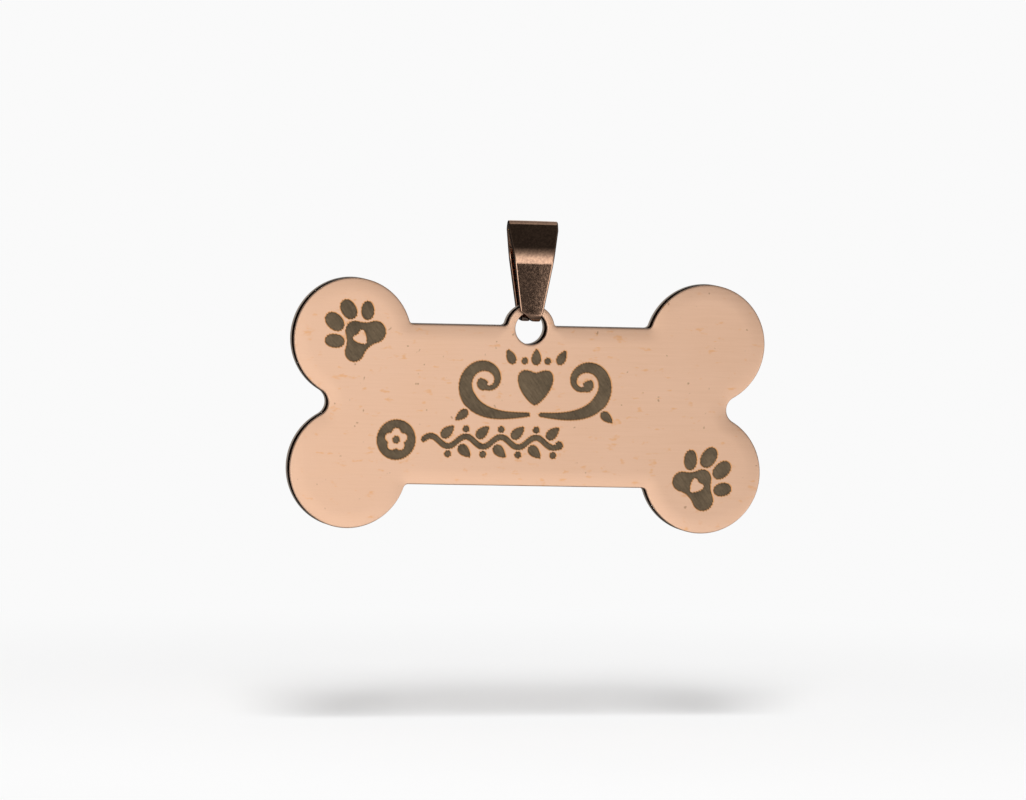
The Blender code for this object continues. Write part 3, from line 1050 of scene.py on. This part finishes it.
stage = {
    "floorHeight": -0.0508,
    "floorSize": 6.0,
    "floorSlope": 0.018,       # the loose tag hangs a little tilted over a level floor
    "floorColour": colour(0.90, 0.90, 0.90),
    "white": 0.955,            # what the camera sees of the backdrop
    "farGlow": 0.6,            # what the far floor gives to other rays than the camera's
    "fadeFrom": 0.045,         # the floor turns to backdrop between these distances
    "fadeTo": 0.14,
    # The dome's brightness: stops over the sine of the elevation, and over that of the way
    # to the right, each from -1 to 1 made 0 to 1. The bail mirrors a band of its own.
    "faceGain": 1.55,
    "faceStops": [(0.0, 0.05), (0.14, 0.08), (0.21, 0.35), (0.281, 0.98), (0.371, 1.0), (0.413, 0.96),
                  (0.465, 0.79), (0.50, 0.58), (0.544, 0.33), (0.587, 0.29), (0.671, 0.30), (0.787, 0.18),
                  (0.8475, 0.11), (0.905, 0.05), (0.933, 0.02), (0.97, 0.02), (1.0, 0.3)],
    "bailGain": 1.35,
    "bailStops": [(0.0, 0.10), (0.15, 0.16), (0.30, 0.24), (0.340, 0.15), (0.354, 0.04), (0.388, 0.03),
                  (0.404, 0.24), (0.418, 0.80), (0.440, 1.0), (0.50, 1.0), (0.570, 0.97), (0.638, 0.86),
                  (0.711, 0.50), (0.787, 0.24), (0.8475, 0.13), (0.905, 0.05), (0.933, 0.02), (0.97, 0.02),
                  (1.0, 0.3)],
    "bailBand": (-0.03, 0.105),    # where the band is, and its half width
    "sideGain": 1.35,
    "sideStops": [(0.0, 0.08), (0.10, 0.12), (0.20, 0.35), (0.28, 0.80), (0.35, 0.95), (0.44, 0.80),
                  (0.485, 0.70), (0.55, 0.88), (0.585, 0.86), (0.600, 0.90), (0.615, 0.97), (0.640, 0.55),
                  (0.655, 0.46), (0.68, 0.41), (0.72, 0.35), (0.80, 0.90), (0.87, 0.45), (0.93, 0.08),
                  (1.0, 0.05)],
    "backStops": [(0.0, 0.20), (0.25, 0.45), (0.42, 0.55), (0.47, 0.6), (0.5, 0.95), (0.70, 0.9), (0.80, 0.5),
                  (0.90, 0.2), (1.0, 0.35)],
    "backWideStops": [(0.0, 0.45), (0.22, 0.85), (0.46, 0.85), (0.56, 0.38), (1.0, 0.25)],
    "backWide": (0.12, 0.32),      # the sideways share, squared, where the wide level starts
                                   # and where it is full
    "turnover": 0.15,              # half of the way over which the front gives way to the back
}

lamps = {
    "softbox_above": {
        "place": (-0.19, -0.62, 1.02), "size": (0.42, 1.10), "power": 16.0, "glossy": False,
    },
}


def makeFloor():
    # A pale floor that keeps the shadow near the tag and runs into white far away, by the
    # distance from the middle. Reflections look through it into the studio dome.
    s = stage
    half = s["floorSize"] / 2
    mesh = bpy.data.meshes.new("floor")
    corners = [(-half, -half), (half, -half), (half, half), (-half, half)]
    mesh.from_pydata([(x, y, s["floorHeight"] + s["floorSlope"] * x) for x, y in corners], [], [(0, 1, 2, 3)])
    pale = bpy.data.materials.new("pale_floor")
    board = Board(pale)
    place = board.place()
    away = board.spread(board.length(place), s["fadeFrom"], s["fadeTo"])
    camera = board.add("ShaderNodeLightPath", out=0)
    lit = board.add("ShaderNodeBsdfDiffuse", {}, {"Color": s["floorColour"]})
    strength = camera * s["white"] + (1.0 - camera) * s["farGlow"]
    far = board.add("ShaderNodeEmission", {}, {"Color": colour(1, 1, 1), "Strength": strength})
    seen = board.add("ShaderNodeMixShader", {}, {0: away, 1: lit, 2: far})
    clear = board.add("ShaderNodeBsdfTransparent")
    glossy, shadow = [board.add("ShaderNodeLightPath", out=path) for path in (3, 1)]
    through = (glossy + shadow).clamped()
    board.finishMaterial(board.add("ShaderNodeMixShader", {}, {0: through, 1: seen, 2: clear}))
    mesh.materials.append(pale)
    addObject("floor", mesh)


def makeSky():
    # A studio dome. In front of the tag its level follows the elevation, times a share that
    # follows the way to the side. A band between soft edges, e to minus a fourth power, has
    # levels of its own for the bail. Behind the tag the level follows the elevation alone, in
    # one way in the middle and in another far to the sides. The camera sees plain white.
    s = stage
    world = bpy.data.worlds.new("studio")
    bpy.context.scene.world = world
    board = Board(world)
    way = board.add("ShaderNodeTexCoord", out=0)
    side, depth, height = [board.add("ShaderNodeSeparateXYZ", {}, {0: way}, axis) for axis in range(3)]
    place, reach = s["bailBand"]
    band = 2.718 ** (((side - place) / reach) ** 4.0 * -1.0)
    face = board.ramped(height, s["faceStops"], s["faceGain"])
    front = board.mix(band, face, board.ramped(height, s["bailStops"], s["bailGain"]))
    front = board.mix(1.0, front, board.ramped(side, s["sideStops"], s["sideGain"]), "MULTIPLY")
    wide = board.spread(side * side, *s["backWide"])
    back = board.mix(wide, board.ramped(height, s["backStops"]), board.ramped(height, s["backWideStops"]))
    level = board.mix(board.spread(depth, -s["turnover"], s["turnover"]), front, back)
    white = colour(s["white"], s["white"], s["white"])
    level = board.mix(board.add("ShaderNodeLightPath", out=0), level, white)
    sky = board.add("ShaderNodeBackground", {}, {"Color": level, "Strength": 1.0})
    board.add("ShaderNodeOutputWorld", {}, {"Surface": sky})


def makeLamps():
    # Area lamps that look at the middle of the plate and aren't seen themselves.
    for name, values in lamps.items():
        light = bpy.data.lights.new(name, "AREA")
        light.shape = "RECTANGLE"
        light.size, light.size_y = values["size"]
        light.energy = values["power"]
        lamp = addObject(name, light)
        lamp.location = values["place"]
        toPlate = Vector((0.0, 0.0, plate["middle"] * mm)) - lamp.location
        lamp.rotation_euler = toPlate.to_track_quat("-Z", "Y").to_euler()
        lamp.visible_glossy = values["glossy"]
        lamp.visible_camera = False


# The camera stands where the photograph's did

camera = {
    "yaw": 15.25,              # degrees to the left of straight in front
    "pitch": 3.76,
    "roll": 2.07,
    "distance": 1.2,
    "sensor": 36.0,            # its width in millimetres
    "focus": 11700 / 1026,     # focal length over the picture's width
    "axis": (528.65, 406.29),  # where the optical axis meets the picture, in its pixels
    "picture": (1026, 800),
}


def makeCamera():
    # The rows of roll times pitch times yaw are the camera's axes. It stands back from the
    # tag along its forward axis, and its shift puts the optical axis where it meets the picture.
    c = camera
    yaw, pitch, roll = radians(c["yaw"]), radians(c["pitch"]), radians(c["roll"])
    about = Matrix.Rotation(roll, 3, "Y") @ Matrix.Rotation(pitch, 3, "X") @ Matrix.Rotation(yaw, 3, "Z")
    right, forward, up = about
    data = bpy.data.cameras.new("camera")
    data.sensor_width = c["sensor"]
    data.lens = c["focus"] * data.sensor_width
    data.shift_x = (c["picture"][0] / 2 - c["axis"][0]) / c["picture"][0]
    data.shift_y = (c["axis"][1] - c["picture"][1] / 2) / c["picture"][0]
    data.clip_start, data.clip_end = 0.05, 20.0
    eye = addObject("camera", data)
    aim = Vector((0.0, plate["front"] * mm, plate["middle"] * mm))
    turn = Matrix((right, up, -forward)).transposed().to_4x4()
    eye.matrix_world = Matrix.Translation(aim - forward * c["distance"]) @ turn
    bpy.context.scene.camera = eye


paintedShadeEdge = makeEdgeFinish("cut_edge_painted_shade", paintedShadeEdgeFinish)
paintedReflectionEdge = makeEdgeFinish("cut_edge_painted_reflection", paintedReflectionEdgeFinish)
tagPlate = makePlate([makeBrushedGold(), makeEngravedFinish(), paintedShadeEdge, paintedReflectionEdge])
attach(tagPlate, "plate")
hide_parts("bone_plate")
print("plate:", len(tagPlate.data.polygons), "faces")

tagBail = makeBail([makePolishedGold(), paintedShadeEdge])
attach(tagBail, "bail")
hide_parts("bail")
print("bail:", len(tagBail.data.polygons), "faces")

makeFloor()
makeSky()
print("floor and studio dome made")
makeLamps()
print("lamps:", len(lamps))
makeCamera()
print("camera made")

bpy.context.scene.view_settings.view_transform = "Standard"
